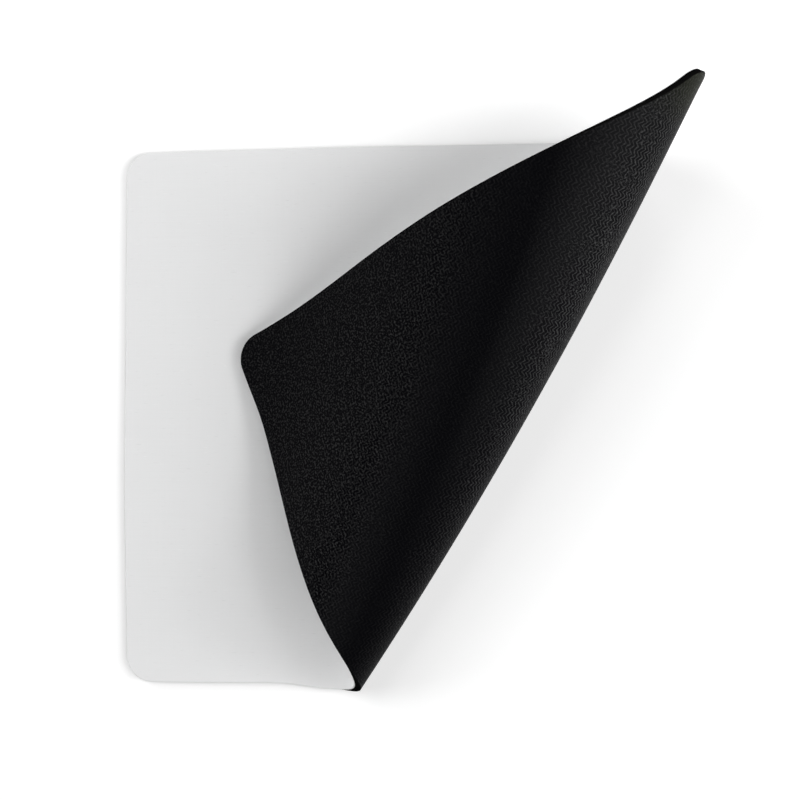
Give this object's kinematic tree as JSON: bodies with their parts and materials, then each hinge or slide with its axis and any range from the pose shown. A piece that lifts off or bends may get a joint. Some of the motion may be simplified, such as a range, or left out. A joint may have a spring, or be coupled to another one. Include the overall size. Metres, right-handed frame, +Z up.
{
  "type": "mouse pad",
  "caption": "Soft cloth-topped rubber mouse pad lying on a desk, with its lower right corner rolled up and over so that the ribbed rubber underside shows.",
  "frame": {"origin": "on the table under the middle of the object's box", "axes": "+X to the right along the pad's lower edge, +Y towards the pad's upper edge, +Z up off the table"},
  "size_m": [0.209, 0.2138, 0.0615],
  "materials": {
    "white_cloth": "matte fine-woven polyester",
    "adhesive_film": "clear hot-melt film, seen only as a thin line on the cut edge",
    "black_rubber": "matte open-cell rubber with a fine moulded zigzag on the underside"
  },
  "bodies": {
    "root": {"cloth_face": "white_cloth", "bonding_film": "adhesive_film", "rubber_base": "black_rubber"}
  },
  "joints": []
}
